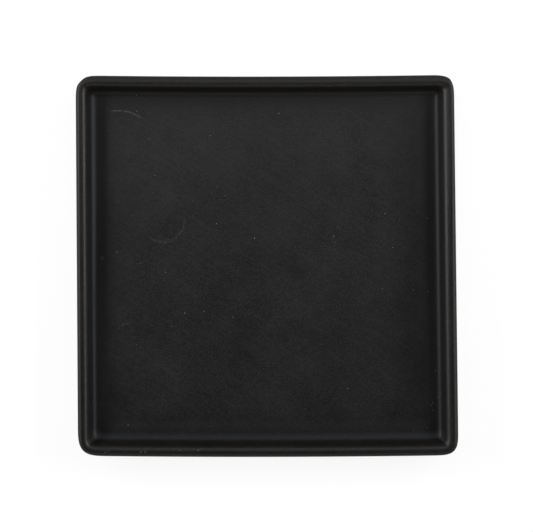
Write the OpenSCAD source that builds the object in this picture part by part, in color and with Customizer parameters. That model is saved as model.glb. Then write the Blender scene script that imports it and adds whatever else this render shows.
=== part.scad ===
// Square stoneware dinner plate. One pressed clay body carries a raised, rounded rim round
// a flat well and stands on a foot ring. A skin of glaze runs over the well, the rim and the
// outer wall as far as the foot, and a second skin covers the underside inside the foot. The
// standing face is wiped bare before firing, so that it doesn't stick to the kiln shelf.

/* [Plate] */
// Side of the square, across the outside of the rim
plate_w = 260; // [200:1:320]
// Outside radius of the four corners, seen from above
corner_r = 10; // [9.6:0.2:16]

/* [Rim] */
// Radius of the shoulder on the outside of the rim
outer_shoulder_r = 3; // [2:0.1:4]
// Width of the level crown between the two shoulders
crown_w = 0.4; // [0.2:0.1:1.2]
// Radius of the shoulder that turns down into the well
inner_shoulder_r = 5; // [3:0.1:6]
// Lean of the outer wall from upright, in degrees
outer_lean = 18; // [8:1:20]
// Radius of the heel, where the outer wall turns under the plate
heel_r = 6; // [3:0.5:7]

/* [Well] */
// Depth of the well, from the crown down to the floor
well_depth = 11; // [10:0.5:14]
// Lean of the well's wall from upright, in degrees
well_lean = 21; // [10:1:30]
// Radius of the fillet between the wall and the floor
well_fillet_r = 4.5; // [3:0.5:7]
// Thickness of the floor, from glaze to glaze
floor_t = 6; // [4:0.5:8]

/* [Foot] */
// Height of the foot ring, which lifts the floor off the table
foot_h = 3; // [2.4:0.2:6]
// Distance from the side of the plate in to the foot ring
foot_inset = 32; // [20:1:60]
// Width of the foot ring where it leaves the floor
foot_w = 7; // [6:0.5:12]
// Outside radius of the foot ring's corners
foot_corner_r = 20; // [16:1:40]
// Lean of the foot ring's flanks from upright, in degrees
foot_lean = 15; // [4:1:25]
// Radius along both edges of the standing face
foot_edge_r = 0.8; // [0.4:0.1:1]
// Radius of the glazed fillet where the foot ring leaves the floor
foot_root_r = 1.2; // [0.6:0.1:1.6]

/* [Glaze] */
// Thickness of the fired glaze
glaze_t = 0.4; // [0.25:0.05:0.6]
// Height above the table at which the wiped glaze stops
glaze_line_h = 1.1; // [0.9:0.1:1.4]

/* [Hidden] */
$fn = 96;

plate_h = foot_h + floor_t + well_depth;
floor_z = foot_h + floor_t;

// The corner axes stand this far apart, on the plate and on the foot ring
axis_span = plate_w - 2 * corner_r;
foot_span = plate_w - 2 * (foot_inset + foot_corner_r);
// Radius of the foot ring's middle line at its corners
foot_mid_r = foot_corner_r - foot_w / 2;

// How far a cut runs past what it cuts
overrun = 1;
// How deep the foot ring is rooted in the floor
foot_rooting = floor_t / 3;

// Directions square to each sloping face, pointing out of the clay. In every section X is
// measured outwards and Y is height.
outer_normal = [cos(outer_lean), -sin(outer_lean)];
well_normal = [-cos(well_lean), sin(well_lean)];
foot_normal = [cos(foot_lean), -sin(foot_lean)];

// Centres of the plate section's arcs, with X from the corner axis. The clay's arcs share
// them with the glaze over it, so the glaze is equally thick round every bend.
outer_shoulder = [corner_r - outer_shoulder_r, plate_h - outer_shoulder_r];
inner_shoulder = [outer_shoulder.x - crown_w, plate_h - inner_shoulder_r];
heel_y = foot_h + heel_r;
heel = [
    outer_shoulder.x + (outer_shoulder_r - heel_r
        + (heel_y - outer_shoulder.y) * sin(outer_lean)) / cos(outer_lean),
    heel_y
];
fillet_y = floor_z + well_fillet_r;
fillet = [
    inner_shoulder.x - (inner_shoulder_r + well_fillet_r
        - (fillet_y - inner_shoulder.y) * sin(well_lean)) / cos(well_lean),
    fillet_y
];

// Centre of the foot section's root fillet, with X from the ring's middle line
foot_root = [
    foot_w / 2 + foot_root_r * (1 - sin(foot_lean)) / cos(foot_lean),
    foot_h - foot_root_r
];

// Centre of the arc along the standing face's edge, under a glaze of thickness t
function foot_edge(t) = [
    foot_w / 2 - (t + foot_edge_r + (foot_h - foot_edge_r) * sin(foot_lean)) / cos(foot_lean),
    foot_edge_r
];

// Half of the plate's section before the well is sunk, from its middle to its outer wall.
// It lies t inside the glazed surface.
module blank_section(t) {
    polygon([
        [-axis_span / 2, foot_h + t],
        [heel.x, foot_h + t],
        heel + (heel_r - t) * outer_normal,
        outer_shoulder + (outer_shoulder_r - t) * outer_normal,
        [outer_shoulder.x, plate_h - t],
        [-axis_span / 2, plate_h - t]
    ]);
    translate(heel) circle(heel_r - t);
    translate(outer_shoulder) circle(outer_shoulder_r - t);
}

// Half of the well's section, t under the glazed surface
module well_section(t) {
    difference() {
        union() {
            polygon([
                [-axis_span / 2 - overrun, floor_z - t],
                [fillet.x, floor_z - t],
                fillet - (well_fillet_r + t) * well_normal,
                inner_shoulder + (inner_shoulder_r - t) * well_normal,
                [inner_shoulder.x, plate_h - t],
                [inner_shoulder.x, plate_h + overrun],
                [-axis_span / 2 - overrun, plate_h + overrun]
            ]);
            translate(fillet) circle(well_fillet_r + t);
        }
        translate(inner_shoulder) circle(inner_shoulder_r - t);
    }
}

module plate_section(t) {
    difference() {
        blank_section(t);
        well_section(t);
    }
}

// Half of the foot ring's section, from its middle line to one flank
module foot_half_section(t) {
    edge = foot_edge(t);
    top = foot_h + t + foot_rooting;
    translate(edge) circle(foot_edge_r);
    difference() {
        polygon([
            [0, 0],
            [edge.x, 0],
            edge + foot_edge_r * foot_normal,
            foot_root - (foot_root_r + t) * foot_normal,
            [foot_root.x, foot_h + t],
            [foot_root.x, top],
            [0, top]
        ]);
        translate(foot_root) circle(foot_root_r + t);
    }
}

// The plate without its foot. Two runs of the whole section cross in the middle, so the well's
// fillets meet in a mitre, and a quarter turn about each corner axis joins the runs' ends.
module plate_form(t) {
    for (turn = [0, 90])
        rotate([90, 0, turn])
            linear_extrude(axis_span, center = true)
                for (side = [0, 1])
                    mirror([side, 0]) translate([axis_span / 2, 0]) plate_section(t);
    for (turn = [0:90:270])
        rotate(turn)
            translate([axis_span / 2, axis_span / 2])
                rotate_extrude(angle = 90)
                    intersection() {
                        plate_section(t);
                        square([corner_r, plate_h]);
                    }
}

// The foot ring, carried along four straight runs and round four corners
module foot_ring(t) {
    for (turn = [0:90:270])
        rotate(turn) {
            translate([foot_span / 2 + foot_mid_r, 0])
                rotate([90, 0, 0])
                    linear_extrude(foot_span, center = true) foot_section(t);
            translate([foot_span / 2, foot_span / 2])
                rotate_extrude(angle = 90) translate([foot_mid_r, 0]) foot_section(t);
        }
}

module foot_section(t) {
    for (side = [0, 1]) mirror([side, 0]) foot_half_section(t);
}

module clay_form() {
    plate_form(glaze_t);
    foot_ring(glaze_t);
}

// The plate's glazed outside, down to the line at which the glaze is wiped off
module glazed_form() {
    difference() {
        union() {
            plate_form(0);
            foot_ring(0);
        }
        translate([0, 0, -overrun])
            linear_extrude(overrun + glaze_line_h) square(plate_w, center = true);
    }
}

// A block inside the foot ring's middle line, which parts the two skins of glaze
module foot_core() {
    core_h = foot_h + floor_t / 2;
    core_w = foot_span + 2 * foot_mid_r;
    for (turn = [0, 90])
        rotate(turn) linear_extrude(core_h) square([core_w, foot_span], center = true);
    for (turn = [0:90:270])
        rotate(turn) translate([foot_span / 2, foot_span / 2]) cylinder(core_h, r = foot_mid_r);
}

module stoneware_body() {
    color("#6b5a4c") clay_form();
}

module face_glaze() {
    color("#2a2a2b") difference() {
        glazed_form();
        clay_form();
        foot_core();
    }
}

module underside_glaze() {
    color("#333334") difference() {
        intersection() {
            glazed_form();
            foot_core();
        }
        clay_form();
    }
}

stoneware_body();
face_glaze();
underside_glaze();
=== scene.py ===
# %% [markdown]
# # A square stoneware dinner plate
# The plate is one pressed and fired slab of clay under two skins of black glaze: one over the
# well, the rim and the outer wall, and one underneath, inside the foot ring. Everything the
# eye gets from it is in slow curves and in a surface that is almost, but not quite, even. So
# the lesson is about two things: carrying one section round a square, and a quiet material.

import bpy
import numpy as np
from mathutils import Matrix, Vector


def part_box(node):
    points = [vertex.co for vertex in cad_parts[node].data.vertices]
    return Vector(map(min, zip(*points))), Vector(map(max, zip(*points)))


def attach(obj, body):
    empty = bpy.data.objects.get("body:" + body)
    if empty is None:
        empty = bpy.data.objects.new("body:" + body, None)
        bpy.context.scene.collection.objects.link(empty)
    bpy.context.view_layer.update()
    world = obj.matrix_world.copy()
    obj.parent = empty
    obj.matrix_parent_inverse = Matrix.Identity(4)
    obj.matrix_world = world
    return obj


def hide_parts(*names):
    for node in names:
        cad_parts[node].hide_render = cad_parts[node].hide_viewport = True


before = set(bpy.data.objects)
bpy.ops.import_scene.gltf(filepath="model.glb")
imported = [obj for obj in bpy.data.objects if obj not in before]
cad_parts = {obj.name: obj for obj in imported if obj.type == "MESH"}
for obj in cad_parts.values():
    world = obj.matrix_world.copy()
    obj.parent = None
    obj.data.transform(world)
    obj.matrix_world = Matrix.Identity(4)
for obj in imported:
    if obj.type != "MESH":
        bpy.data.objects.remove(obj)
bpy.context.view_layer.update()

# %% [markdown]
# ## Sizes
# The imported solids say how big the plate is. The radii of its section are written again here,
# in millimetres, because a box doesn't hold them. Working in millimetres and turning to metres
# once, at the end, keeps the numbers the size a potter would say aloud.

# %% Sizes of the plate, in millimetres
MM = 0.001


def box_mm(node):
    """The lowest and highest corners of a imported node, in millimetres."""
    return [np.array(corner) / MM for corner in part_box(node)]


glaze_low, glaze_high = box_mm("face_glaze")
clay_high = box_mm("stoneware_body")[1]
under_high = box_mm("underside_glaze")[1]

PLATE_H = round(float(glaze_high[2]), 2)
HALF_W = round(float(glaze_high[0]), 1)
GLAZE_T = round(float(glaze_high[2] - clay_high[2]), 2)
GLAZE_LINE = round(float(glaze_low[2]), 2)
FOOT_H = round(float(under_high[2]) - GLAZE_T, 2)

CORNER_R = 10.0
OUTER_SHOULDER_R = 3.0
CROWN_W = 0.4
INNER_SHOULDER_R = 5.0
OUTER_LEAN = np.radians(18.0)
HEEL_R = 6.0
WELL_DEPTH = 11.0
WELL_LEAN = np.radians(21.0)
WELL_FILLET_R = 4.5

FOOT_INSET = 32.0
FOOT_W = 7.0
FOOT_CORNER_R = 20.0
FOOT_LEAN = np.radians(15.0)
FOOT_EDGE_R = 0.8
FOOT_ROOT_R = 1.2

CORNER_AXIS = HALF_W - CORNER_R
FOOT_AXIS = HALF_W - FOOT_INSET - FOOT_CORNER_R
FOOT_MID_R = FOOT_CORNER_R - FOOT_W / 2
FLOOR_Z = PLATE_H - WELL_DEPTH
print("height", PLATE_H, "half width", HALF_W, "glaze", GLAZE_T, "glaze line", GLAZE_LINE)

# %% [markdown]
# ## The camera
# The photograph looks straight down from far away, so its sides hardly converge. A long lens at
# 2.5 m does the same. The lens is worked out from the plate's real width and the pixels it
# covers, and the small turn is the one at which the plate was laid under the real camera.

# %% Camera, straight above the plate
PHOTO_W_PX = 533
PLATE_W_PX = 382.9
CAMERA_H = 2.5
# Not quite over the middle, so that the view has a near side
CAMERA_Y = -0.0001
SENSOR_W = 36.0
PHOTO_TURN = np.radians(0.31)

view_w = 2 * HALF_W * MM * PHOTO_W_PX / PLATE_W_PX
camera_data = bpy.data.cameras.new("camera")
camera_data.sensor_width = SENSOR_W
camera_data.lens = SENSOR_W * (CAMERA_H - PLATE_H * MM) / view_w
camera = bpy.data.objects.new("camera", camera_data)
camera.location = (0.0, CAMERA_Y, CAMERA_H)
camera.rotation_euler = (0.0, 0.0, -PHOTO_TURN)
bpy.context.scene.collection.objects.link(camera)
bpy.context.scene.camera = camera
print("lens", round(camera_data.lens, 1), "mm, view", round(view_w, 4), "m wide")

# %% [markdown]
# ## The section, as arcs and straights
# A potter's die is turned or milled to one section: floor, fillet, leaning wall, two shoulders
# and a heel. It could be drawn as a curve by hand, but the arcs here have exact centres, and
# the clay's arcs share them with the glaze's. So one function of the depth under the glazed
# surface gives both outlines, and the glaze comes out equally thick round every bend.

# %% Arcs and straights


def bend(centre, radius, first_deg, last_deg, steps):
    """Points on an arc: the centre plus the radius times (cos a, sin a), a in even steps."""
    a = np.radians(np.linspace(first_deg, last_deg, steps + 1))
    return np.array(centre) + radius * np.stack([np.cos(a), np.sin(a)], axis=1)


def straight(start, end, steps):
    """Points on the line from start to end, at even shares of its length."""
    share = np.linspace(0.0, 1.0, steps + 1)[:, None]
    return (1 - share) * np.array(start) + share * np.array(end)


def joined(*parts):
    """The parts end to end, each without the first point, which the part before it gave."""
    return np.concatenate([parts[0]] + [part[1:] for part in parts[1:]])


print("a right angle in two steps:", bend((0.0, 0.0), 1.0, 0, 90, 2).round(2).tolist())

# %% Centres of the arcs, from the corner axis outwards
outer_shoulder = np.array([CORNER_R - OUTER_SHOULDER_R, PLATE_H - OUTER_SHOULDER_R])
inner_shoulder = np.array([outer_shoulder[0] - CROWN_W, PLATE_H - INNER_SHOULDER_R])
heel_z = FOOT_H + HEEL_R
heel = np.array([
    outer_shoulder[0]
    + (OUTER_SHOULDER_R - HEEL_R + (heel_z - outer_shoulder[1]) * np.sin(OUTER_LEAN))
    / np.cos(OUTER_LEAN),
    heel_z,
])
fillet_z = FLOOR_Z + WELL_FILLET_R
fillet = np.array([
    inner_shoulder[0]
    - (INNER_SHOULDER_R + WELL_FILLET_R - (fillet_z - inner_shoulder[1]) * np.sin(WELL_LEAN))
    / np.cos(WELL_LEAN),
    fillet_z,
])
foot_root = np.array([
    FOOT_W / 2 + FOOT_ROOT_R * (1 - np.sin(FOOT_LEAN)) / np.cos(FOOT_LEAN),
    FOOT_H - FOOT_ROOT_R,
])
foot_edge = np.array([
    FOOT_W / 2
    - (GLAZE_T + FOOT_EDGE_R + (FOOT_H - FOOT_EDGE_R) * np.sin(FOOT_LEAN)) / np.cos(FOOT_LEAN),
    FOOT_EDGE_R,
])
print("the well's floor starts", round(float(CORNER_R - fillet[0]), 2), "mm in from the side")

# %% [markdown]
# ## Rows that go round the plate
# Each point of the section becomes a row: a rounded square with its own half width, corner
# radius and height. On the rim the corner radius falls as the row moves inwards. On the well's
# fillet it would reach nothing and leave a knife-sharp mitre, and there the glaze pools and
# rounds it, so the radius is kept above a small pool radius by a smooth maximum.

# %% Rows of half width, corner radius and height
POOL_R = 3.0
POOL_BLEND = 0.5
CENTRE_SHARE = 0.4

# Steps along each part of the section, from the well's middle to the underside's
FLOOR_STEPS = 26
ARC_STEPS = 14
WELL_WALL_STEPS = 3
OUTER_WALL_STEPS = 5
HEEL_STEPS = 10
HEEL_TO_FOOT_STEPS = 8
FOOT_STEPS = 6
INSIDE_FOOT_STEPS = 20


def pooled_radius(x):
    """A smooth maximum of x and the pool radius: half of their sum plus a rounded difference."""
    gap = x - POOL_R
    return ((x + POOL_R) + np.sqrt(gap * gap + 4 * POOL_BLEND**2)) / 2


def rim_rows(depth):
    """The section from the start of the well's fillet over the rim to the end of the heel."""
    lean_out = -np.degrees(OUTER_LEAN)
    lean_in = 180 - np.degrees(WELL_LEAN)
    well = bend(fillet, WELL_FILLET_R + depth, -90, lean_in - 180, ARC_STEPS)
    inside = bend(inner_shoulder, INNER_SHOULDER_R - depth, lean_in, 90, ARC_STEPS)
    outside = bend(outer_shoulder, OUTER_SHOULDER_R - depth, 90, lean_out, ARC_STEPS)
    under = bend(heel, HEEL_R - depth, lean_out, -90, HEEL_STEPS)
    section = joined(
        well,
        straight(well[-1], inside[0], WELL_WALL_STEPS),
        inside,
        straight(inside[-1], outside[0], 1),
        outside,
        straight(outside[-1], under[0], OUTER_WALL_STEPS),
        under,
    )
    x = section[:, 0]
    return np.stack([CORNER_AXIS + x, pooled_radius(x), section[:, 1]], axis=1)


def centre_rows(edge, steps):
    """Level rows inside an edge row, whose radius grows to a share of their width."""
    share = np.linspace(1.0, 0.0, steps + 1)[1:-1]
    half = edge[0] * share
    ease = (1 - share) ** 2 * (1 + 2 * share)
    radius = half * ((1 - ease) * edge[1] / edge[0] + ease * CENTRE_SHARE)
    return np.stack([half, radius, np.full(len(share), edge[2])], axis=1)


def flank_points(depth, side):
    """One flank of the foot ring, from the floor down to where the wiped edge would begin."""
    normal = np.array([np.cos(FOOT_LEAN), -np.sin(FOOT_LEAN)])
    lean_in = 180 - np.degrees(FOOT_LEAN)
    root = bend(foot_root, FOOT_ROOT_R + depth, 90, lean_in, FOOT_STEPS)
    foot_end = foot_edge + (FOOT_EDGE_R + GLAZE_T - depth) * normal
    flank = joined(root, straight(root[-1], foot_end, FOOT_STEPS))
    return flank * np.array([side, 1.0])


def foot_rows(points):
    """Rows of the foot ring, from points whose X is measured from the ring's middle line."""
    x = points[:, 0]
    middle = FOOT_AXIS + FOOT_MID_R
    return np.stack([middle + x, FOOT_MID_R + x, points[:, 1]], axis=1)


def above_line(points, line):
    """The part of a flank above a height, ended by a point exactly on that height."""
    kept = points[points[:, 1] > line]
    below = points[len(kept)]
    share = (kept[-1, 1] - line) / (kept[-1, 1] - below[1])
    return np.concatenate([kept, [kept[-1] + share * (below - kept[-1])]])


print("rim rows:", len(rim_rows(0.0)))

# %% [markdown]
# ## A rounded square as two numbers
# The outline runs from the middle of one side to the next corner and round. It is linear in two
# lengths: the half width less the corner's reach, and the reach. So each point of the path holds
# four shares, and an outer product with the rows gives the whole grid at once. The corner
# follows a superellipse, |x|^n + |y|^n = 1, because the fired corner eases into its sides and
# has no point at which a compass arc would begin. Its reach is set so that the corner's tip is
# cut off as far as the radius would cut it, and the left corners are a little rounder.

# %% Shares along the path
CORNER_POWER = 4.0
CORNER_EASE = (1.0, 1.1, 1.2, 1.0)
SIDE_STEPS = 16
CORNER_STEPS = 24


def path_shares():
    """Per path point: x and y as shares of (half width - reach) and of reach, and its ease."""
    side = np.linspace(0.0, 1.0, SIDE_STEPS, endpoint=False)
    angle = np.radians(np.linspace(0.0, 90.0, CORNER_STEPS + 1))
    cos, sin = np.cos(angle), np.sin(angle)
    away = (cos**CORNER_POWER + sin**CORNER_POWER) ** (-1 / CORNER_POWER)
    round_x, round_y = away * cos, away * sin
    one, none = np.ones(SIDE_STEPS), np.zeros(SIDE_STEPS)
    back = side[:0:-1]
    up = np.stack([one, one, side, none])
    turn = np.stack([np.ones_like(angle), round_x, np.ones_like(angle), round_y])
    across = np.stack([back, np.zeros_like(back), np.ones_like(back), np.ones_like(back)])
    quarter = np.concatenate([up, turn, across], axis=1)
    parts = []
    x, y = quarter[:2], quarter[2:]
    for ease in CORNER_EASE:
        parts.append(np.concatenate([x, y, np.full((1, x.shape[1]), ease)]))
        x, y = -y, x
    return np.concatenate(parts, axis=1)


def carried(rows):
    """Grid of points: row by row, shares times (half - reach) plus shares times reach."""
    shares = path_shares()
    half, radius, z = rows[:, 0:1], rows[:, 1:2], rows[:, 2:3]
    reach = shares[4] * radius * (1 - 0.5**0.5) / (1 - 0.5 ** (1 / CORNER_POWER))
    x = (half - reach) * shares[0] + reach * shares[1]
    y = (half - reach) * shares[2] + reach * shares[3]
    return np.stack([x, y, z + 0 * x], axis=2)


print("points along the path:", path_shares().shape[1])

# %% [markdown]
# ## What the kiln does
# A flat square slab never leaves the kiln square. In the photograph this one leans a fifth of a
# degree, is a little narrower at the top, and its top and bottom sides both sag the same way.
# Its far rim leans in, and its right rim leans out towards the far end. The well sits slightly
# to the left, and the fillets along its near and left sides are wider than the other two. All
# of this is smooth functions of the place, so skin and clay move together and stay in touch.

# %% Firing warp
SIDE_MARGIN = 1.0
SKEW = 0.0038
TAPER = 0.0028
TALLER = 0.0026
SAG = 1.0
SAG_LEVEL = 0.6
WELL_DRIFT = -0.4
SETTLE = 0.05
SETTLE_Z = (FOOT_H + 1.0, FLOOR_Z - 0.5)

# Depth of the roll on the floor and the crown, and the length, bend and phase of its waves
FLOOR_SWELL = 0.12
CROWN_SWELL = 0.1
SWELL_MM = (14.0, 17.0, 21.0)
SWELL_BEND = (0.8, 31.0)
SWELL_PHASE = (1.3, 2.1)

# How far the far rim, right rim, near fillet and left fillet move, and the insets at which
# that starts, is greatest and ends. On the right and the left it sets in along Y.
ROLL = 0.9
ROLL_INSET = (0.0, 3.4, 9.0)
FLARE = 1.1
FLARE_INSET = (0.0, 4.2, 9.5)
FLARE_Y = (0.0, 75.0)
SPREAD = 2.5
SPREAD_INSET = (8.5, 14.0, 60.0)
EASE_IN = 0.65
EASE_INSET = (8.5, 12.5, 60.0)
EASE_Y = (-30.0, 60.0)


def smooth(value, low, high):
    """Smoothstep: 0 up to low, 1 from high on, and 3s^2 - 2s^3 between."""
    s = np.clip((value - low) / (high - low), 0.0, 1.0)
    return s * s * (3 - 2 * s)


def swell(x, y):
    """A slow roll, from 0 to 1: 1/2 + (sin a + sin b + sin c) / 6, about 100 mm a wave."""
    a = x / SWELL_MM[0] + SWELL_BEND[0] * np.sin(y / SWELL_BEND[1])
    b = y / SWELL_MM[1] + SWELL_PHASE[0]
    c = (x + y) / SWELL_MM[2] + SWELL_PHASE[1]
    return 0.5 + (np.sin(a) + np.sin(b) + np.sin(c)) / 6


def hump(inset, start, top, end):
    """0 up to start, 1 at top and 0 again from end on, with a smoothstep on each side."""
    return smooth(inset, start, top) * smooth(-inset, -end, -top)


def fired(points, inside):
    """Moves points as the firing did. inside is 1 in the well and 0 on the outer wall."""
    shrink = (HALF_W - SIDE_MARGIN) / HALF_W
    x, y, z = points[..., 0] * shrink, points[..., 1] * shrink, points[..., 2]
    u, v = x / HALF_W, y / HALF_W
    rolled = ROLL * hump(HALF_W - points[..., 1], *ROLL_INSET)
    spread = SPREAD * inside * hump(HALF_W + points[..., 1], *SPREAD_INSET)
    flared = FLARE * hump(HALF_W - points[..., 0], *FLARE_INSET) * smooth(y, *FLARE_Y)
    eased = EASE_IN * inside * hump(HALF_W + points[..., 0], *EASE_INSET) * smooth(y, *EASE_Y)
    new_x = x * (1 - TAPER * v) - SKEW * y + WELL_DRIFT * inside + flared + eased
    new_y = y * (1 + TALLER) - SKEW * x + SAG * (u * u - SAG_LEVEL) - rolled + spread
    raised = smooth(z, *SETTLE_Z)
    depth = FLOOR_SWELL * inside + CROWN_SWELL * (1 - inside)
    new_z = z - raised * (SETTLE + depth * swell(x, y))
    return np.stack([new_x, new_y, new_z], axis=-1)


print("skewed by", round(float(np.degrees(SKEW)), 2), "degrees, sagging by", SAG, "mm")

# %% [markdown]
# ## From grid to mesh
# Every piece here is one closed skin with two poles: it starts at the middle of its top and ends
# at the middle of its underside, or of its inner face. Quads join neighbouring rows, and a fan
# closes each pole. Going outwards first and round the plate second points every face outwards.

# %% One function that makes a closed piece


def closed_piece(name, rows, bands, inside):
    """A mesh from rows: carried round the square, fired, and closed by a fan at each pole."""
    flat = carried(rows)
    grid = fired(flat, inside[:, None] + np.zeros(flat.shape[:2]))
    pole_rows = np.array([[0.0, 0.0, rows[0, 2]], [0.0, 0.0, rows[-1, 2]]])
    poles = fired(pole_rows, inside[[0, -1]])
    m, n = grid.shape[:2]
    verts = np.concatenate([grid.reshape(-1, 3), poles]) * MM
    index = np.arange(m * n).reshape(m, n)
    ahead = np.roll(index, -1, axis=1)
    quads = np.stack([index[:-1], index[1:], ahead[1:], ahead[:-1]], axis=2).reshape(-1, 4)
    top, bottom = np.full(n, m * n), np.full(n, m * n + 1)
    fans = np.concatenate([
        np.stack([top, index[0], ahead[0]], axis=1),
        np.stack([index[-1], bottom, ahead[-1]], axis=1),
    ])
    mesh = bpy.data.meshes.new(name)
    mesh.from_pydata(verts.tolist(), [], quads.tolist() + fans.tolist())
    for band, weights in bands.items():
        spread = np.broadcast_to(weights.reshape(m, -1), (m, n))
        spread = np.concatenate([spread.ravel(), spread[[0, -1], 0]])
        attribute = mesh.attributes.new(band, "FLOAT", "POINT")
        attribute.data.foreach_set("value", spread.astype(np.float32))
    mesh.shade_smooth()
    mesh.update()
    piece = bpy.data.objects.new(name, mesh)
    bpy.context.scene.collection.objects.link(piece)
    print(name, len(verts), "points,", len(quads) + len(fans), "faces")
    return piece


# %% [markdown]
# ## The glaze over the face
# On the real plate the glaze is sprayed on. It thins over convex edges, where the clay's iron
# warms it. Beside the well's left and right walls the glaze is painted darker and dimmer to
# reflect, as painted shade where the side lamps' shadow falls. Cutlery and stacked plates haze
# the floor, and shelves scuff the outer wall. All of this follows the section, so each point of
# the skin carries seven weights, and the material reads them.

# %% Where the glaze varies, in millimetres
INSIDE_INSET = (3.2, 8.5)
EDGE_Z = (FLOOR_Z + 4.0, PLATE_H - 1.5)
WEAR_CENTRE = (-7.0, -1.0)
WEAR_INSET_X = (14.0, 48.0)
WEAR_INSET_Y = (11.0, 34.0)
SCUFF = 0.5
SCUFF_INSET = (2.4, 0.8)

# Inset of each bell curve's middle, and its width
EDGE_BELL = (5.4, 2.4)
FILLET_BELL = (10.8, 3.0)
# Where the painted cool tint on the fillet's reflections lies
PAINTED_COOL_BELL = (13.0, 1.9)
MARGIN_BELL = (16.5, 4.0)
# Where the painted shade at the fillet's foot lies
PAINTED_SHADE_BELL = (16.6, 3.2)

# Where along Y the painted shade at the fillet's foot sets in, how it tells left and right from
# far, and its far share
PAINTED_SHADE_Y = (-100.0, 20.0)
BESIDE = (-12.0, 12.0)
FAR_SHARE = 0.4

# The painted cool tint's share in the middle, and how much it gains to the right and to the far
# side
PAINTED_COOL_SHARES = (0.65, -0.35, -0.4)


def before_crown(rows):
    """True from the well's middle up to the crown, and False on every row after it."""
    return np.arange(len(rows)) <= np.argmax(rows[:, 2])


def inset_of(rows):
    """How far in each row lies from the plate's side."""
    return HALF_W - rows[:, 0]


def inside_weight(rows):
    """1 on the well's floor and fillet, falling to 0 at the crown and everywhere outside it."""
    return np.where(before_crown(rows), smooth(inset_of(rows), *INSIDE_INSET), 0.0)


def bell(inset, middle, width):
    """A bell curve of an inset: exp(-((inset - middle) / width)^2)."""
    return np.exp(-(((inset - middle) / width) ** 2))


def well_bell(rows, middle, width):
    """The bell curve on the rows before the crown, and 0 on those after it."""
    return before_crown(rows) * bell(inset_of(rows), middle, width)


def edge_weight(rows):
    """How thin the glaze is over the crown: a bell curve of the inset, on high rows only."""
    return smooth(rows[:, 2], *EDGE_Z) * bell(inset_of(rows), *EDGE_BELL)


def painted_shade_weight(rows):
    """How much painted shade lies at the fillet's foot, where the side lamps are shaded: most at
    left and right, none at the near side.
    """
    flat = carried(rows)
    beside = smooth(np.abs(flat[..., 0]) - np.abs(flat[..., 1]), *BESIDE)
    share = smooth(flat[..., 1], *PAINTED_SHADE_Y) * (FAR_SHARE + (1 - FAR_SHARE) * beside)
    return well_bell(rows, *PAINTED_SHADE_BELL)[:, None] * share


def painted_cool_tint_weight(rows):
    """How blue the painted tint on the fillet's reflections is: most at the near left, least at
    the far right.
    """
    flat = carried(rows) / HALF_W
    even, along_x, along_y = PAINTED_COOL_SHARES
    share = np.clip(even + along_x * flat[..., 0] + along_y * flat[..., 1], 0.0, 1.0)
    return well_bell(rows, *PAINTED_COOL_BELL)[:, None] * share


def scuff_weight(rows):
    """How much the outer wall has been knocked: 1 at its widest, falling to 0 up the shoulder."""
    return ~before_crown(rows) * smooth(-inset_of(rows), -SCUFF_INSET[0], -SCUFF_INSET[1])


def wear_weight(rows):
    """How much cutlery and stacked plates have hazed a place: most of it inside the floor."""
    flat = carried(rows)
    inset_x = HALF_W - np.abs(flat[..., 0] - WEAR_CENTRE[0])
    inset_y = HALF_W - np.abs(flat[..., 1] - WEAR_CENTRE[1])
    hazed = smooth(inset_x, *WEAR_INSET_X) * smooth(inset_y, *WEAR_INSET_Y)
    return before_crown(rows)[:, None] * hazed + SCUFF * scuff_weight(rows)[:, None]


BANDS = {
    "edge": edge_weight,
    "fillet": lambda rows: well_bell(rows, *FILLET_BELL),
    # cool: a painted cool tint on the fillet's reflections
    "cool": painted_cool_tint_weight,
    "margin": lambda rows: well_bell(rows, *MARGIN_BELL),
    # pool: painted shade at the fillet's foot, a darker base and a dimmer reflection
    "pool": painted_shade_weight,
    "wear": wear_weight,
    "scuff": scuff_weight,
}
print("weights:", ", ".join(BANDS))

# %% The skin over the face
ROLLED_STEPS = 6


def face_surface(depth):
    """Rows of the face at a depth: well floor, rim, underside, and the foot's outer flank."""
    rim = rim_rows(depth)
    flank = foot_rows(above_line(flank_points(depth, 1), GLAZE_LINE + GLAZE_T / 2))
    floor = centre_rows(rim[0], FLOOR_STEPS)[::-1]
    under = straight(rim[-1], flank[0], HEEL_TO_FOOT_STEPS)
    return np.concatenate([floor, rim, under[1:-1], flank])


def rolled_edge(outer_end, inner_end):
    """The glaze's rounded end: a half circle from the outer surface's end to the inner's."""
    middle = (outer_end + inner_end) / 2
    arm = (outer_end - inner_end) / 2
    a = np.linspace(0.0, np.pi, ROLLED_STEPS + 1)[1:-1, None]
    drop = np.array([0.0, 0.0, -abs(arm[0])])
    return middle + np.cos(a) * arm + np.sin(a) * drop


def face_piece(name):
    """The skin's outer surface, its rolled end, and its inner surface going back."""
    outer, inner = face_surface(0.0), face_surface(GLAZE_T)
    end = rolled_edge(outer[-1], inner[-1])
    rows = np.concatenate([outer, end, inner[::-1]])
    inside = [inside_weight(outer), np.zeros(len(end)), inside_weight(inner)[::-1]]
    bands = {band: weight(rows) for band, weight in BANDS.items()}
    return closed_piece(name, rows, bands, np.concatenate(inside))


face_skin = face_piece("face_glaze_skin")

# %% [markdown]
# ## The glaze underneath
# Inside the foot ring the plate is glazed again. This skin runs down the ring's inner flank and
# stops at the same wiped line. It is made from the same flank, mirrored about the ring's middle.

# %% The underside skin


def underside_surface(depth):
    """Rows from the middle of the underside out to the foot's inner flank and down it."""
    flank = foot_rows(above_line(flank_points(depth, -1), GLAZE_LINE + GLAZE_T / 2))
    return np.concatenate([centre_rows(flank[0], INSIDE_FOOT_STEPS)[::-1], flank])


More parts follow.
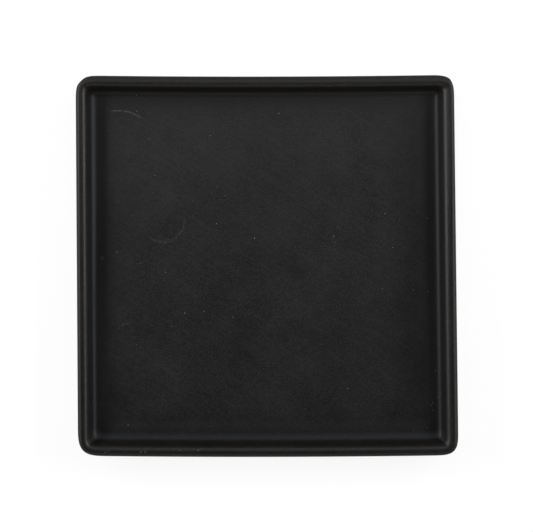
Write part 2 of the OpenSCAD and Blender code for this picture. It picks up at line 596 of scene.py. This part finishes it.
def underside_piece(name):
    """The skin as it lies: inner surface first, so that its outward side faces down."""
    outer, inner = underside_surface(0.0), underside_surface(GLAZE_T)
    rows = np.concatenate([inner, rolled_edge(inner[-1], outer[-1]), outer[::-1]])
    none = np.zeros(len(rows))
    return closed_piece(name, rows, {band: none for band in BANDS}, none)


underside_skin = underside_piece("underside_glaze_skin")

# %% [markdown]
# ## The clay
# The body fills both skins exactly, so it is made from the same rows at the glaze's depth. Only
# its foot shows: a dry ring with softly sponged edges, where the plate stood in the kiln.

# %% The fired clay body


def standing_rows():
    """The foot ring below both flanks: its outer edge, standing face and inner edge."""
    lean = np.degrees(FOOT_LEAN)
    outer = bend(foot_edge, FOOT_EDGE_R, -lean, -90, FOOT_STEPS)
    inner = (outer * np.array([-1.0, 1.0]))[::-1]
    return foot_rows(joined(outer, straight(outer[-1], inner[0], FOOT_STEPS), inner))


def clay_piece(name):
    """The body from the middle of its floor, over rim, heel and foot, to its underside."""
    rim = rim_rows(GLAZE_T)
    outer_flank = foot_rows(flank_points(GLAZE_T, 1))
    inner_flank = foot_rows(flank_points(GLAZE_T, -1))[::-1]
    rows = np.concatenate([
        centre_rows(rim[0], FLOOR_STEPS)[::-1],
        rim,
        straight(rim[-1], outer_flank[0], HEEL_TO_FOOT_STEPS)[1:-1],
        outer_flank,
        standing_rows()[1:-1],
        inner_flank,
        centre_rows(inner_flank[-1], INSIDE_FOOT_STEPS),
    ])
    return closed_piece(name, rows, {}, inside_weight(rows))


clay = clay_piece("fired_clay_body")

# %% [markdown]
# ## Pale grains
# Here and there a grain of the clay's sand, or a crumb from the kiln roof, shows as a pale speck
# in the black. They could be painted by a noise texture, but the photograph shows where the
# larger ones lie. So each is a very low dome with a place and a width in millimetres.

# %% Places of the grains: x, y and width in millimetres
GRAINS = np.array([
    (9, 104, 0.6), (-38, 89, 0.5), (-88, 117, 0.55), (-34, 29, 0.65), (-8, 19, 0.75),
    (81, 35, 0.5), (46, 20, 0.6), (47, 16, 0.4), (86, 12, 0.4), (79, -16, 0.4),
    (-86, 2, 0.45), (-69, -4, 0.55), (-56, -32, 0.75), (-43, -31, 0.6), (-23, -35, 0.5),
    (-65, -41, 0.45), (-98, -40, 0.45), (-89, -53, 0.35), (-25, -45, 0.4), (55, -84, 0.5),
    (37, -54, 0.35), (110, 32, 0.45), (100, -17, 0.45), (110, -18, 0.45), (-76, 62, 0.4),
    (-51, -112, 0.35), (-106, -114, 0.9), (-95, -108, 0.55), (-88, 106, 0.5),
    (-110, -126, 0.55), (-108, -125, 0.5), (-86, -126, 0.65), (-28, 48, 0.45), (-69, 16, 0.5),
    (-80, 87, 0.4), (-33, 54, 0.45), (-50, 44, 0.35), (117, -90, 0.55), (113, -94, 0.45),
    (112, -96, 0.45), (113, -99, 0.4), (109, -111, 0.4), (100, -113, 0.4), (106, -114, 0.45),
    (117, 2, 0.65), (117, -54, 0.65), (115, -72, 0.5), (118, -87, 0.4),
    (-83, -126, 0.65), (-59, -125, 0.5), (-47, -125, 0.55), (-45, -124, 0.35), (-16, -66, 0.35),
])

# A dome's height and depth as shares of its width, and its rings' widths and heights, lowest
# ring first, as shares of the dome's
GRAIN_RISE = 0.07
GRAIN_OVAL = 0.8
RING_SHARES = (1.0, 0.75, 0.35)
RISE_SHARES = (-0.25, 0.6, 1.0)
GRAIN_SIDES = 8

# How far from the middle the well ends and the crown begins
WELL_EDGE = (CORNER_AXIS + 1.0, CORNER_AXIS + 7.0)
ROWS_PAST_CROWN = 8


def height_at(x, y):
    """The glazed surface's height over a place, read off the section at the place's inset."""
    rows = rim_rows(0.0)
    top = rows[: int(np.argmax(rows[:, 2])) + ROWS_PAST_CROWN]
    half = np.maximum(np.abs(x), np.abs(y)) * HALF_W / (HALF_W - SIDE_MARGIN)
    height = np.interp(half, top[:, 0], top[:, 2])
    in_well = 1 - smooth(half, *WELL_EDGE)
    depth = FLOOR_SWELL * in_well + CROWN_SWELL * (1 - in_well)
    return height - SETTLE - depth * swell(x, y)


def grains_piece(name):
    """Domes: rings at cos and sin of an angle, round each place, sunk a hair at the rim."""
    rise = np.array(RISE_SHARES) * GRAIN_RISE
    a = np.linspace(0.0, 2 * np.pi, GRAIN_SIDES, endpoint=False)
    x, y, width = GRAINS.T
    z = height_at(x, y)
    out = width[:, None, None] / 2 * np.array(RING_SHARES)[None, :, None]
    px = x[:, None, None] + out * np.cos(a)
    py = y[:, None, None] + out * GRAIN_OVAL * np.sin(a)
    pz = z[:, None, None] + rise[None, :, None] * width[:, None, None] + 0 * px
    verts = np.stack([px, py, pz], axis=-1).reshape(-1, 3) * MM
    block = np.arange(len(verts)).reshape(len(GRAINS), len(RING_SHARES), GRAIN_SIDES)
    ahead = np.roll(block, -1, axis=2)
    walls = np.stack([block[:, :-1], ahead[:, :-1], ahead[:, 1:], block[:, 1:]], axis=-1)
    faces = walls.reshape(-1, 4).tolist()
    faces += block[:, -1].tolist() + block[:, 0, ::-1].tolist()
    mesh = bpy.data.meshes.new(name)
    mesh.from_pydata(verts.tolist(), [], faces)
    mesh.shade_smooth()
    piece = bpy.data.objects.new(name, mesh)
    bpy.context.scene.collection.objects.link(piece)
    print(name, len(GRAINS), "grains")
    return piece


grains = grains_piece("pale_grains")

# %% [markdown]
# ## Finishes
# A material here starts from what the potter used. Colours are written as the hex values a
# paint chart would give, and one function turns them to the linear light the renderer works
# in. Pattern sizes are in millimetres, and one function turns them to a texture's scale.

# %% Helpers for finishes
WHITE = "#ffffff"


def linear(hex_colour):
    """sRGB hex to linear RGBA: c / 12.92 in the dark, else ((c + 0.055) / 1.055) ** 2.4."""
    srgb = np.array([int(hex_colour[i : i + 2], 16) / 255 for i in (1, 3, 5)])
    rgb = np.where(srgb <= 0.04045, srgb / 12.92, ((srgb + 0.055) / 1.055) ** 2.4)
    return (*rgb.tolist(), 1.0)


def per_mm(size):
    """A texture scale, in cells per metre, for cells of a size in millimetres."""
    return 1.0 / (size * MM)


def socket(sockets, key):
    """The socket with this identifier, or else the one with this name or number."""
    by_identifier = [s for s in sockets if s.identifier == key]
    return by_identifier[0] if by_identifier else sockets[key]


def add(tree, kind, inputs=None, **settings):
    """Adds a node, sets its properties, and fills or links its inputs."""
    node = tree.nodes.new(kind)
    for key, value in settings.items():
        setattr(node, key, value)
    for key, value in (inputs or {}).items():
        if isinstance(value, bpy.types.NodeSocket):
            tree.links.new(value, socket(node.inputs, key))
        else:
            socket(node.inputs, key).default_value = value
    return node


def new_material(name):
    """An empty node material and its tree."""
    material = bpy.data.materials.new(name)
    material.use_nodes = True
    material.node_tree.nodes.clear()
    return material, material.node_tree


print("sRGB #808080 is", round(linear("#808080")[0], 3), "in linear light")

# %% [markdown]
# ## Satin black glaze
# This is an iron and manganese black, fired until it is only just glossy: a dielectric glass,
# IOR 1.45, over a base that is nearly black. Tiny crystals in its surface spread the highlight,
# which is why it looks soft and grey where a lamp grazes it. On top of that come a cloudiness
# a few centimetres across, a fine grain, streaks from wiping, warmth on the edges, a duller
# fillet with a painted cool tint on its reflections, painted shade at the fillet's foot, a scuffed
# outer wall, three faint curved rub marks, as cups and cutlery leave them, and some soft spots,
# dark and pale, one of them painted shade in the well's near left corner.

# %% Marks on the well's floor, in millimetres and degrees
RUB_MARKS = [
    {"centre": (-100.3, 81.4), "radius": 25.0, "from": 51, "to": 104, "width": 1.1, "depth": 0.5},
    {"centre": (-70.4, 31.4), "radius": 14.6, "from": -138, "to": 18, "width": 1.6, "depth": 0.22},
    {"centre": (-96.0, -45.2), "radius": 6.3, "from": 70, "to": 160, "width": 0.7, "depth": 0.22},
]
SPOTS = [
    {"centre": (21, -5), "radius": 9, "depth": 0.6, "tone": "#0a0a0a"},
    {"centre": (11, -48), "radius": 8, "depth": 0.55, "tone": "#0a0a0a"},
    {"centre": (35, -33), "radius": 5, "depth": 0.4, "tone": "#0a0a0a"},
    {"centre": (45, -99), "radius": 12, "depth": 0.5, "tone": "#0a0a0a"},
    # Painted shade: a darker patch in the near left corner of the well's floor
    {"centre": (-107, -106), "radius": 10, "depth": 0.5, "tone": "#08090b"},
    {"centre": (-112, 6), "radius": 2.0, "depth": 0.2, "tone": "#5a5a58"},
    {"centre": (-102, 10), "radius": 1.8, "depth": 0.2, "tone": "#5a5a58"},
    {"centre": (21, -30), "radius": 13, "depth": 0.035, "tone": "#5a5a58"},
    {"centre": (-92, -83), "radius": 14, "depth": 0.03, "tone": "#5a5a58"},
    {"centre": (-46, 85), "radius": 30, "depth": 0.025, "tone": "#5a5a58"},
    {"centre": (-78, 66), "radius": 46, "depth": 0.035, "tone": "#5a5a5a"},
    {"centre": (-80, -58), "radius": 44, "depth": 0.03, "tone": "#5a5a5a"},
    {"centre": (62, -40), "radius": 55, "depth": 0.2, "tone": "#0a0a0a"},
]
print("rub marks:", len(RUB_MARKS), "spots:", len(SPOTS))

# %% Masks for the marks
# The share of an arc's sweep that is whole, and the noise at which its dabs begin and are whole
FULL_SWEEP_SHARE = 0.7
DAB_RANGE = (0.35, 0.6)


def map_range(low, high, start=0.0, end=1.0):
    """The four limits of a Map Range node, by the names of its inputs."""
    return {"From Min": low, "From Max": high, "To Min": start, "To Max": end}


def product(tree, masks):
    """The masks multiplied together, one Math node for each after the first."""
    total = masks[0]
    for mask in masks[1:]:
        total = add(tree, "ShaderNodeMath", {0: total, 1: mask}, operation="MULTIPLY").outputs[0]
    return total


def distance_from(tree, place, centre):
    """The vector from a centre in millimetres to the place, and its length."""
    point = (centre[0] * MM, centre[1] * MM, 0.0)
    away = add(tree, "ShaderNodeVectorMath", {0: place, 1: point}, operation="SUBTRACT")
    length = add(tree, "ShaderNodeVectorMath", {0: away.outputs[0]}, operation="LENGTH")
    return away.outputs[0], length.outputs["Value"]


def arc_mask(tree, place, noise, mark):
    """A mark's depth close to its circle and within its sweep, and 0 elsewhere and in gaps."""
    away, length = distance_from(tree, place, mark["centre"])
    off = add(tree, "ShaderNodeMath", {0: length, 1: mark["radius"] * MM}, operation="SUBTRACT")
    off = add(tree, "ShaderNodeMath", {0: off.outputs[0]}, operation="ABSOLUTE")
    width = mark["width"] * MM
    near = add(
        tree, "ShaderNodeMapRange", {"Value": off.outputs[0], **map_range(0.0, width, 1.0, 0.0)},
        interpolation_type="SMOOTHSTEP",
    )
    middle = np.radians((mark["from"] + mark["to"]) / 2)
    half_sweep = np.radians((mark["to"] - mark["from"]) / 2)
    heading = add(tree, "ShaderNodeVectorMath", {0: away}, operation="NORMALIZE")
    along = add(
        tree, "ShaderNodeVectorMath",
        {0: heading.outputs[0], 1: (float(np.cos(middle)), float(np.sin(middle)), 0.0)},
        operation="DOT_PRODUCT",
    )
    ends = map_range(float(np.cos(half_sweep)), float(np.cos(FULL_SWEEP_SHARE * half_sweep)))
    within = add(tree, "ShaderNodeMapRange", {"Value": along.outputs["Value"], **ends})
    dabs = add(tree, "ShaderNodeMapRange", {"Value": noise, **map_range(*DAB_RANGE)})
    return product(
        tree, [near.outputs[0], within.outputs[0], dabs.outputs[0], mark["depth"]]
    )


def spot_mask(tree, place, spot):
    """A soft round spot: its depth at its centre, falling smoothly to 0 at its radius."""
    _, length = distance_from(tree, place, spot["centre"])
    limits = map_range(0.0, spot["radius"] * MM, spot["depth"], 0.0)
    return add(
        tree, "ShaderNodeMapRange", {"Value": length, **limits}, interpolation_type="SMOOTHSTEP"
    ).outputs[0]


# %% [markdown]
# ## Noises, masks and coats
# Five noises of real sizes make the surface uneven. A painted image could do the same, but it
# would blur close up. Each tone of the glaze is a coat mixed over the last one by a mask: a
# noise, a weight of the skin, or both multiplied. The roughness is a sum instead, because what
# dulls the surface in one way and in another adds up.

# %% Patterns of the glaze, with sizes in millimetres
# Specks and grit are finer than a pixel on the real plate. They are drawn about a pixel wide,
# so that they show.
NOISES = {
    "cloud": {"size": 26.0, "detail": 2.0, "gain": 0.6},
    "mottle": {"size": 4.5, "detail": 3.0, "gain": 1.0},
    "speck": {"size": 0.76, "detail": 1.0, "gain": 0.5},
    "grit": {"size": 0.8, "detail": 0.0, "gain": 0.5},
    "peel": {"size": 5.0, "detail": 1.0, "gain": 0.5},
}
CLOUD_SHARE = 0.5
MOTTLE_RANGE = (0.24, 0.76)

# Streaks from wiping: their length and width, their heading, and how much of their noise shows
WIPE_MM = (60.0, 2.4)
WIPE_TURN = np.radians(-32.0)
WIPE_RANGE = (0.5, 0.8)
WIPE_DEPTH = 0.25

# Heights of the bumps
PEEL_HEIGHT = 0.06
GRIT_HEIGHT = 0.032


def glaze_noises(tree, place):
    """The outputs of one noise texture for each pattern, all read at the same place."""
    noises = {}
    for key, pattern in NOISES.items():
        inputs = {
            "Vector": place,
            "Scale": per_mm(pattern["size"]),
            "Detail": pattern["detail"],
            "Roughness": pattern["gain"],
        }
        noises[key] = add(tree, "ShaderNodeTexNoise", inputs).outputs["Fac"]
    return noises


def mottling(tree, noises):
    """The cloud and mottle noises mixed, and stretched to run from 0 to 1."""
    both = add(
        tree, "ShaderNodeMix",
        {"Factor_Float": CLOUD_SHARE, "A_Float": noises["mottle"], "B_Float": noises["cloud"]},
        data_type="FLOAT",
    )
    return add(
        tree, "ShaderNodeMapRange",
        {"Value": socket(both.outputs, "Result_Float"), **map_range(*MOTTLE_RANGE)},
    ).outputs[0]


def wiping(tree, flat):
    """A noise drawn out along one heading, as a cloth leaves it, from 0 to the wiped depth."""
    turned = add(
        tree, "ShaderNodeMapping",
        {
            "Vector": flat,
            "Rotation": (0.0, 0.0, float(WIPE_TURN)),
            "Scale": (WIPE_MM[0] * MM, WIPE_MM[1] * MM, 1.0),
        },
        vector_type="TEXTURE",
    )
    streaks = add(
        tree, "ShaderNodeTexNoise", {"Vector": turned.outputs[0], "Scale": 1.0, "Detail": 2.0}
    ).outputs["Fac"]
    return add(
        tree, "ShaderNodeMapRange", {"Value": streaks, **map_range(*WIPE_RANGE, 0.0, WIPE_DEPTH)}
    ).outputs[0]


def glaze_normal(tree, noises):
    """The broad bump of the peel, with the fine bump of the grit on top of it."""
    peel = add(tree, "ShaderNodeBump", {"Height": noises["peel"], "Distance": PEEL_HEIGHT * MM})
    grit = {
        "Height": noises["grit"],
        "Distance": GRIT_HEIGHT * MM,
        "Normal": peel.outputs["Normal"],
    }
    return add(tree, "ShaderNodeBump", grit).outputs["Normal"]


print("patterns:", ", ".join(NOISES))

# %% Tones and roughness of the glaze
GLAZE_IOR = 1.45
FACE_TONES = {"dark": "#040404", "pale": "#0c0c0c", "worn": "#1a191c"}
UNDERSIDE_TONES = {"dark": "#121110", "pale": "#201f1d", "worn": "#201f1d"}
SPECK_TONE = "#383636"
WIPED_TONE = "#2c2e30"
THIN_TONE = "#241c16"
# The tone of the painted shade beside the fillet's foot
PAINTED_SHADE_TONE = "#050709"
RUBBED_TONE = "#5a5a58"
# Tints of the reflections: warm on the edges, a painted cool tint on the fillet, and under pool a
# grey that dims the reflections as painted shade at the fillet's foot
SHEENS = {"edge": "#fffbf5", "cool": "#d8def0", "pool": "#c4c6c7"}

# How much of a coat is let in, and the wear from which marks are whole
SPECK_RANGE = (0.46, 0.72)
SPECK_DEPTH = 0.44
UNWORN_SPECKS = 0.38
THIN_DEPTH = 0.16
# How strong the painted shade at the fillet's foot is
PAINTED_SHADE_DEPTH = 0.85
MARKED_WEAR = 0.05

# Roughness of smooth and of worn glaze, and what the mottle and three bands add to it
SMOOTH_ROUGH = 0.448
WORN_ROUGH = 0.472
MOTTLE_ROUGH = 0.07
BAND_ROUGH = {"fillet": 0.085, "margin": 0.12, "scuff": 0.2}


def coated(tree, colour, coats):
    """A colour under coats of other tones, each mixed over the last by its mask."""
    for mask, hex_colour in coats:
        coat = add(
            tree, "ShaderNodeMix",
            {"Factor_Float": mask, "A_Color": colour, "B_Color": linear(hex_colour)},
            data_type="RGBA",
        )
        colour = socket(coat.outputs, "Result_Color")
    return colour


def glaze_coats(tree, flat, noises, bands, mottle, tones):
    """Masks and tones: clouds, wear, specks, wiping, thin edges with specks, and painted shade at
    the fillet's foot.
    """
    speck = add(
        tree, "ShaderNodeMapRange",
        {"Value": noises["speck"], **map_range(*SPECK_RANGE, 0.0, SPECK_DEPTH)},
    ).outputs[0]
    specked = add(
        tree, "ShaderNodeMapRange",
        {"Value": bands["wear"], **map_range(0.0, 1.0, UNWORN_SPECKS, 1.0)},
    ).outputs[0]
    return [
        (mottle, tones["pale"]),
        (product(tree, [bands["wear"], mottle]), tones["worn"]),
        (product(tree, [speck, specked]), SPECK_TONE),
        (product(tree, [bands["wear"], wiping(tree, flat)]), WIPED_TONE),
        (product(tree, [bands["edge"], THIN_DEPTH]), THIN_TONE),
        (product(tree, [bands["edge"], speck]), SPECK_TONE),
        # Painted shade at the fillet's foot
        (product(tree, [bands["pool"], PAINTED_SHADE_DEPTH]), PAINTED_SHADE_TONE),
    ]


def mark_coats(tree, flat, noises, bands, marks, spots):
    """Masks and tones of the rub marks and the spots, one of them painted shade, which lie on worn
    glaze only.
    """
    in_well = add(
        tree, "ShaderNodeMapRange", {"Value": bands["wear"], **map_range(0.0, MARKED_WEAR)}
    ).outputs[0]
    masks = [(arc_mask(tree, flat, noises["speck"], mark), RUBBED_TONE) for mark in marks]
    masks += [(spot_mask(tree, flat, spot), spot["tone"]) for spot in spots]
    return [(product(tree, [mask, in_well]), tone) for mask, tone in masks]


def glaze_roughness(tree, bands, mottle):
    """Smooth to worn by the wear, plus the mottle's drift and what three of the bands add."""
    total = add(
        tree, "ShaderNodeMapRange",
        {"Value": bands["wear"], **map_range(0.0, 1.0, SMOOTH_ROUGH, WORN_ROUGH)},
    ).outputs[0]
    drift = add(
        tree, "ShaderNodeMapRange",
        {"Value": mottle, **map_range(0.0, 1.0, -MOTTLE_ROUGH, MOTTLE_ROUGH)},
    ).outputs[0]
    dull = [product(tree, [bands[band], rough]) for band, rough in BAND_ROUGH.items()]
    for more in [drift, *dull]:
        total = add(tree, "ShaderNodeMath", {0: total, 1: more}, operation="ADD").outputs[0]
    return total


print("bands that are duller:", ", ".join(BAND_ROUGH))

# %% The glaze's material


def glaze(name, tones, marks=(), spots=()):
    """Satin black glaze: a dark base under coats of other tones, each let in by its mask."""
    material, tree = new_material(name)
    place = add(tree, "ShaderNodeTexCoord").outputs["Object"]
    flat = add(
        tree, "ShaderNodeVectorMath", {0: place, 1: (1.0, 1.0, 0.0)}, operation="MULTIPLY"
    ).outputs[0]
    noises = glaze_noises(tree, place)
    bands = {
        band: add(tree, "ShaderNodeAttribute", attribute_name=band).outputs["Fac"]
        for band in BANDS
    }
    mottle = mottling(tree, noises)
    coats = glaze_coats(tree, flat, noises, bands, mottle, tones)
    coats += mark_coats(tree, flat, noises, bands, marks, spots)
    sheens = [(bands[band], tone) for band, tone in SHEENS.items()]
    surface = add(
        tree, "ShaderNodeBsdfPrincipled",
        {
            "Base Color": coated(tree, linear(tones["dark"]), coats),
            "Roughness": glaze_roughness(tree, bands, mottle),
            "IOR": GLAZE_IOR,
            "Specular Tint": coated(tree, linear(WHITE), sheens),
            "Normal": glaze_normal(tree, noises),
        },
    )
    add(tree, "ShaderNodeOutputMaterial", {"Surface": surface.outputs[0]})
    print(name, "has", len(tree.nodes), "nodes")
    return material


black_glaze = glaze("satin_black_glaze", FACE_TONES, RUB_MARKS, SPOTS)
under_glaze = glaze("underside_black_glaze", UNDERSIDE_TONES)

# %% [markdown]
# ## Bare clay and pale grains
# The foot is fired stoneware with no glass on it: brown from its iron, rough to the nail, and
# toasted a little darker in places. The grains are sand of the same clay, only paler. Both are
# dull dielectrics, so one short function serves them, given two tones and a grit size.

# %% Dull, gritty materials
GRIT_RANGE = (0.3, 0.7)
GRIT_DETAIL = 3.0


def gritty(name, dark, pale, grit_mm, height_mm, roughness):
    """Two tones mixed by a noise of the grit's own size, with the same noise as its bump."""
    material, tree = new_material(name)
    place = add(tree, "ShaderNodeTexCoord").outputs["Object"]
    noise = add(
        tree, "ShaderNodeTexNoise",
        {"Vector": place, "Scale": per_mm(grit_mm), "Detail": GRIT_DETAIL},
    ).outputs["Fac"]
    tone = add(tree, "ShaderNodeMapRange", {"Value": noise, **map_range(*GRIT_RANGE)}).outputs[0]
    bump = add(tree, "ShaderNodeBump", {"Height": noise, "Distance": height_mm * MM})
    surface = add(
        tree, "ShaderNodeBsdfPrincipled",
        {
            "Base Color": coated(tree, linear(dark), [(tone, pale)]),
            "Roughness": roughness,
            "Normal": bump.outputs["Normal"],
        },
    )
    add(tree, "ShaderNodeOutputMaterial", {"Surface": surface.outputs[0]})
    print(name, "has", len(tree.nodes), "nodes")
    return material


bare_clay = gritty(
    "bare_stoneware", dark="#4a3a2f", pale="#77614f", grit_mm=0.9, height_mm=0.06, roughness=0.85
)
pale_sand = gritty(
    "pale_sand", dark="#8a867f", pale="#a8a49c", grit_mm=0.4, height_mm=0.03, roughness=0.8
)

# %% Dress the pieces and tie them to the frame
for piece, material, node, slot_name in (
    (clay, bare_clay, "stoneware_body", "fired_clay"),
    (face_skin, black_glaze, "face_glaze", "black_glaze"),
    (underside_skin, under_glaze, "underside_glaze", "underside_glaze"),
    (grains, pale_sand, None, "fired_clay"),
):
    piece.data.materials.append(material)
    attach(piece, "root")
    if node:
        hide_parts(node)
    print(piece.name, "wears", material.name)

# %% [markdown]
# ## A white floor
# The photograph's ground is plain white. The floor is pale paper that also gives off a little
# light of its own, but only to rays from the camera, mirrors and glass. So it looks white and
# reflects as white, it lights the plate no more than paper does, and the soft shadow under the
# rim still shows.

# %% The floor, with its size in metres
FLOOR_HALF = 6.0
PAPER = "#e6e6e6"
# How much of what those rays see is the paper's own light, and how strong that is
OWN_LIGHT = 0.8
OWN_STRENGTH = 1.12

paper, paper_tree = new_material("white_paper")
rays = add(paper_tree, "ShaderNodeLightPath").outputs
seen = rays["Is Camera Ray"]
for ray in ("Is Glossy Ray", "Is Transmission Ray"):
    seen = add(
        paper_tree, "ShaderNodeMath", {0: seen, 1: rays[ray]}, operation="MAXIMUM"
    ).outputs[0]
share = add(paper_tree, "ShaderNodeMath", {0: seen, 1: OWN_LIGHT}, operation="MULTIPLY")
matte = add(paper_tree, "ShaderNodeBsdfDiffuse", {"Color": linear(PAPER)})
glow = add(paper_tree, "ShaderNodeEmission", {"Strength": OWN_STRENGTH})
both = add(
    paper_tree, "ShaderNodeMixShader",
    {0: share.outputs[0], 1: matte.outputs[0], 2: glow.outputs[0]},
)
add(paper_tree, "ShaderNodeOutputMaterial", {"Surface": both.outputs[0]})

corners = [(x * FLOOR_HALF, y * FLOOR_HALF, 0.0) for x, y in ((-1, -1), (1, -1), (1, 1), (-1, 1))]
floor_mesh = bpy.data.meshes.new("floor")
floor_mesh.from_pydata(corners, [], [(0, 1, 2, 3)])
floor_mesh.materials.append(paper)
floor = bpy.data.objects.new("floor", floor_mesh)
bpy.context.scene.collection.objects.link(floor)
print("the floor is", 2 * FLOOR_HALF, "m wide")

# %% [markdown]
# ## The light
# The twin bright lines along the rim and the fillet are two long soft boxes, left and right,
# each about 30 degrees above the table. They stand towards the far end, so the lines fade
# towards the near one. A third light hangs above and a little behind the plate. Two in front,
# one low and one higher, light the slopes that face the near side. The world is nearly black,
# because a satin surface seen from above mirrors the dark ceiling.

# %% Lamps and world, in metres
SIDE_Y = 0.45
ACROSS = (0.0, SIDE_Y, 0.0)
MIDDLE = (0.0, 0.0, 0.0)
CREAM = "#fffdf9"
LAMPS = {
    "left_box": {
        "at": (-1.126, SIDE_Y, 0.65), "aim": ACROSS,
        "size": (1.2, 0.25), "watts": 12.1, "tone": WHITE,
    },
    "right_box": {
        "at": (1.093, SIDE_Y, 0.70), "aim": ACROSS,
        "size": (1.2, 0.28), "watts": 12.2, "tone": WHITE,
    },
    "back_light": {
        "at": (0.0, 0.30, 0.48), "aim": MIDDLE,
        "size": (0.8, 0.3), "watts": 0.9, "tone": CREAM,
    },
    "front_low": {
        "at": (0.0, -1.2, 0.48), "aim": MIDDLE,
        "size": (1.2, 0.7), "watts": 2.2, "tone": CREAM,
    },
    "front_high": {
        "at": (0.0, -0.92, 0.92), "aim": MIDDLE,
        "size": (1.2, 0.25), "watts": 0.95, "tone": CREAM,
    },
}
WORLD_STRENGTH = 0.003

for name, lamp in LAMPS.items():
    data = bpy.data.lights.new(name, "AREA")
    data.shape = "RECTANGLE"
    data.size, data.size_y = lamp["size"]
    data.energy = lamp["watts"]
    data.color = linear(lamp["tone"])[:3]
    lamp_object = bpy.data.objects.new(name, data)
    away = np.array(lamp["at"]) - np.array(lamp["aim"])
    lean = np.arctan2(np.hypot(away[0], away[1]), away[2])
    heading = np.arctan2(away[0], -away[1])
    lamp_object.location = lamp["at"]
    lamp_object.rotation_euler = (float(lean), 0.0, float(heading))
    lamp_object.visible_camera = False
    bpy.context.scene.collection.objects.link(lamp_object)
    print(name, lamp["watts"], "W")

world = bpy.data.worlds.new("dim_room")
world.use_nodes = True
background = world.node_tree.nodes["Background"]
background.inputs["Color"].default_value = linear(WHITE)
background.inputs["Strength"].default_value = WORLD_STRENGTH
bpy.context.scene.world = world
bpy.context.scene.view_settings.view_transform = "Standard"
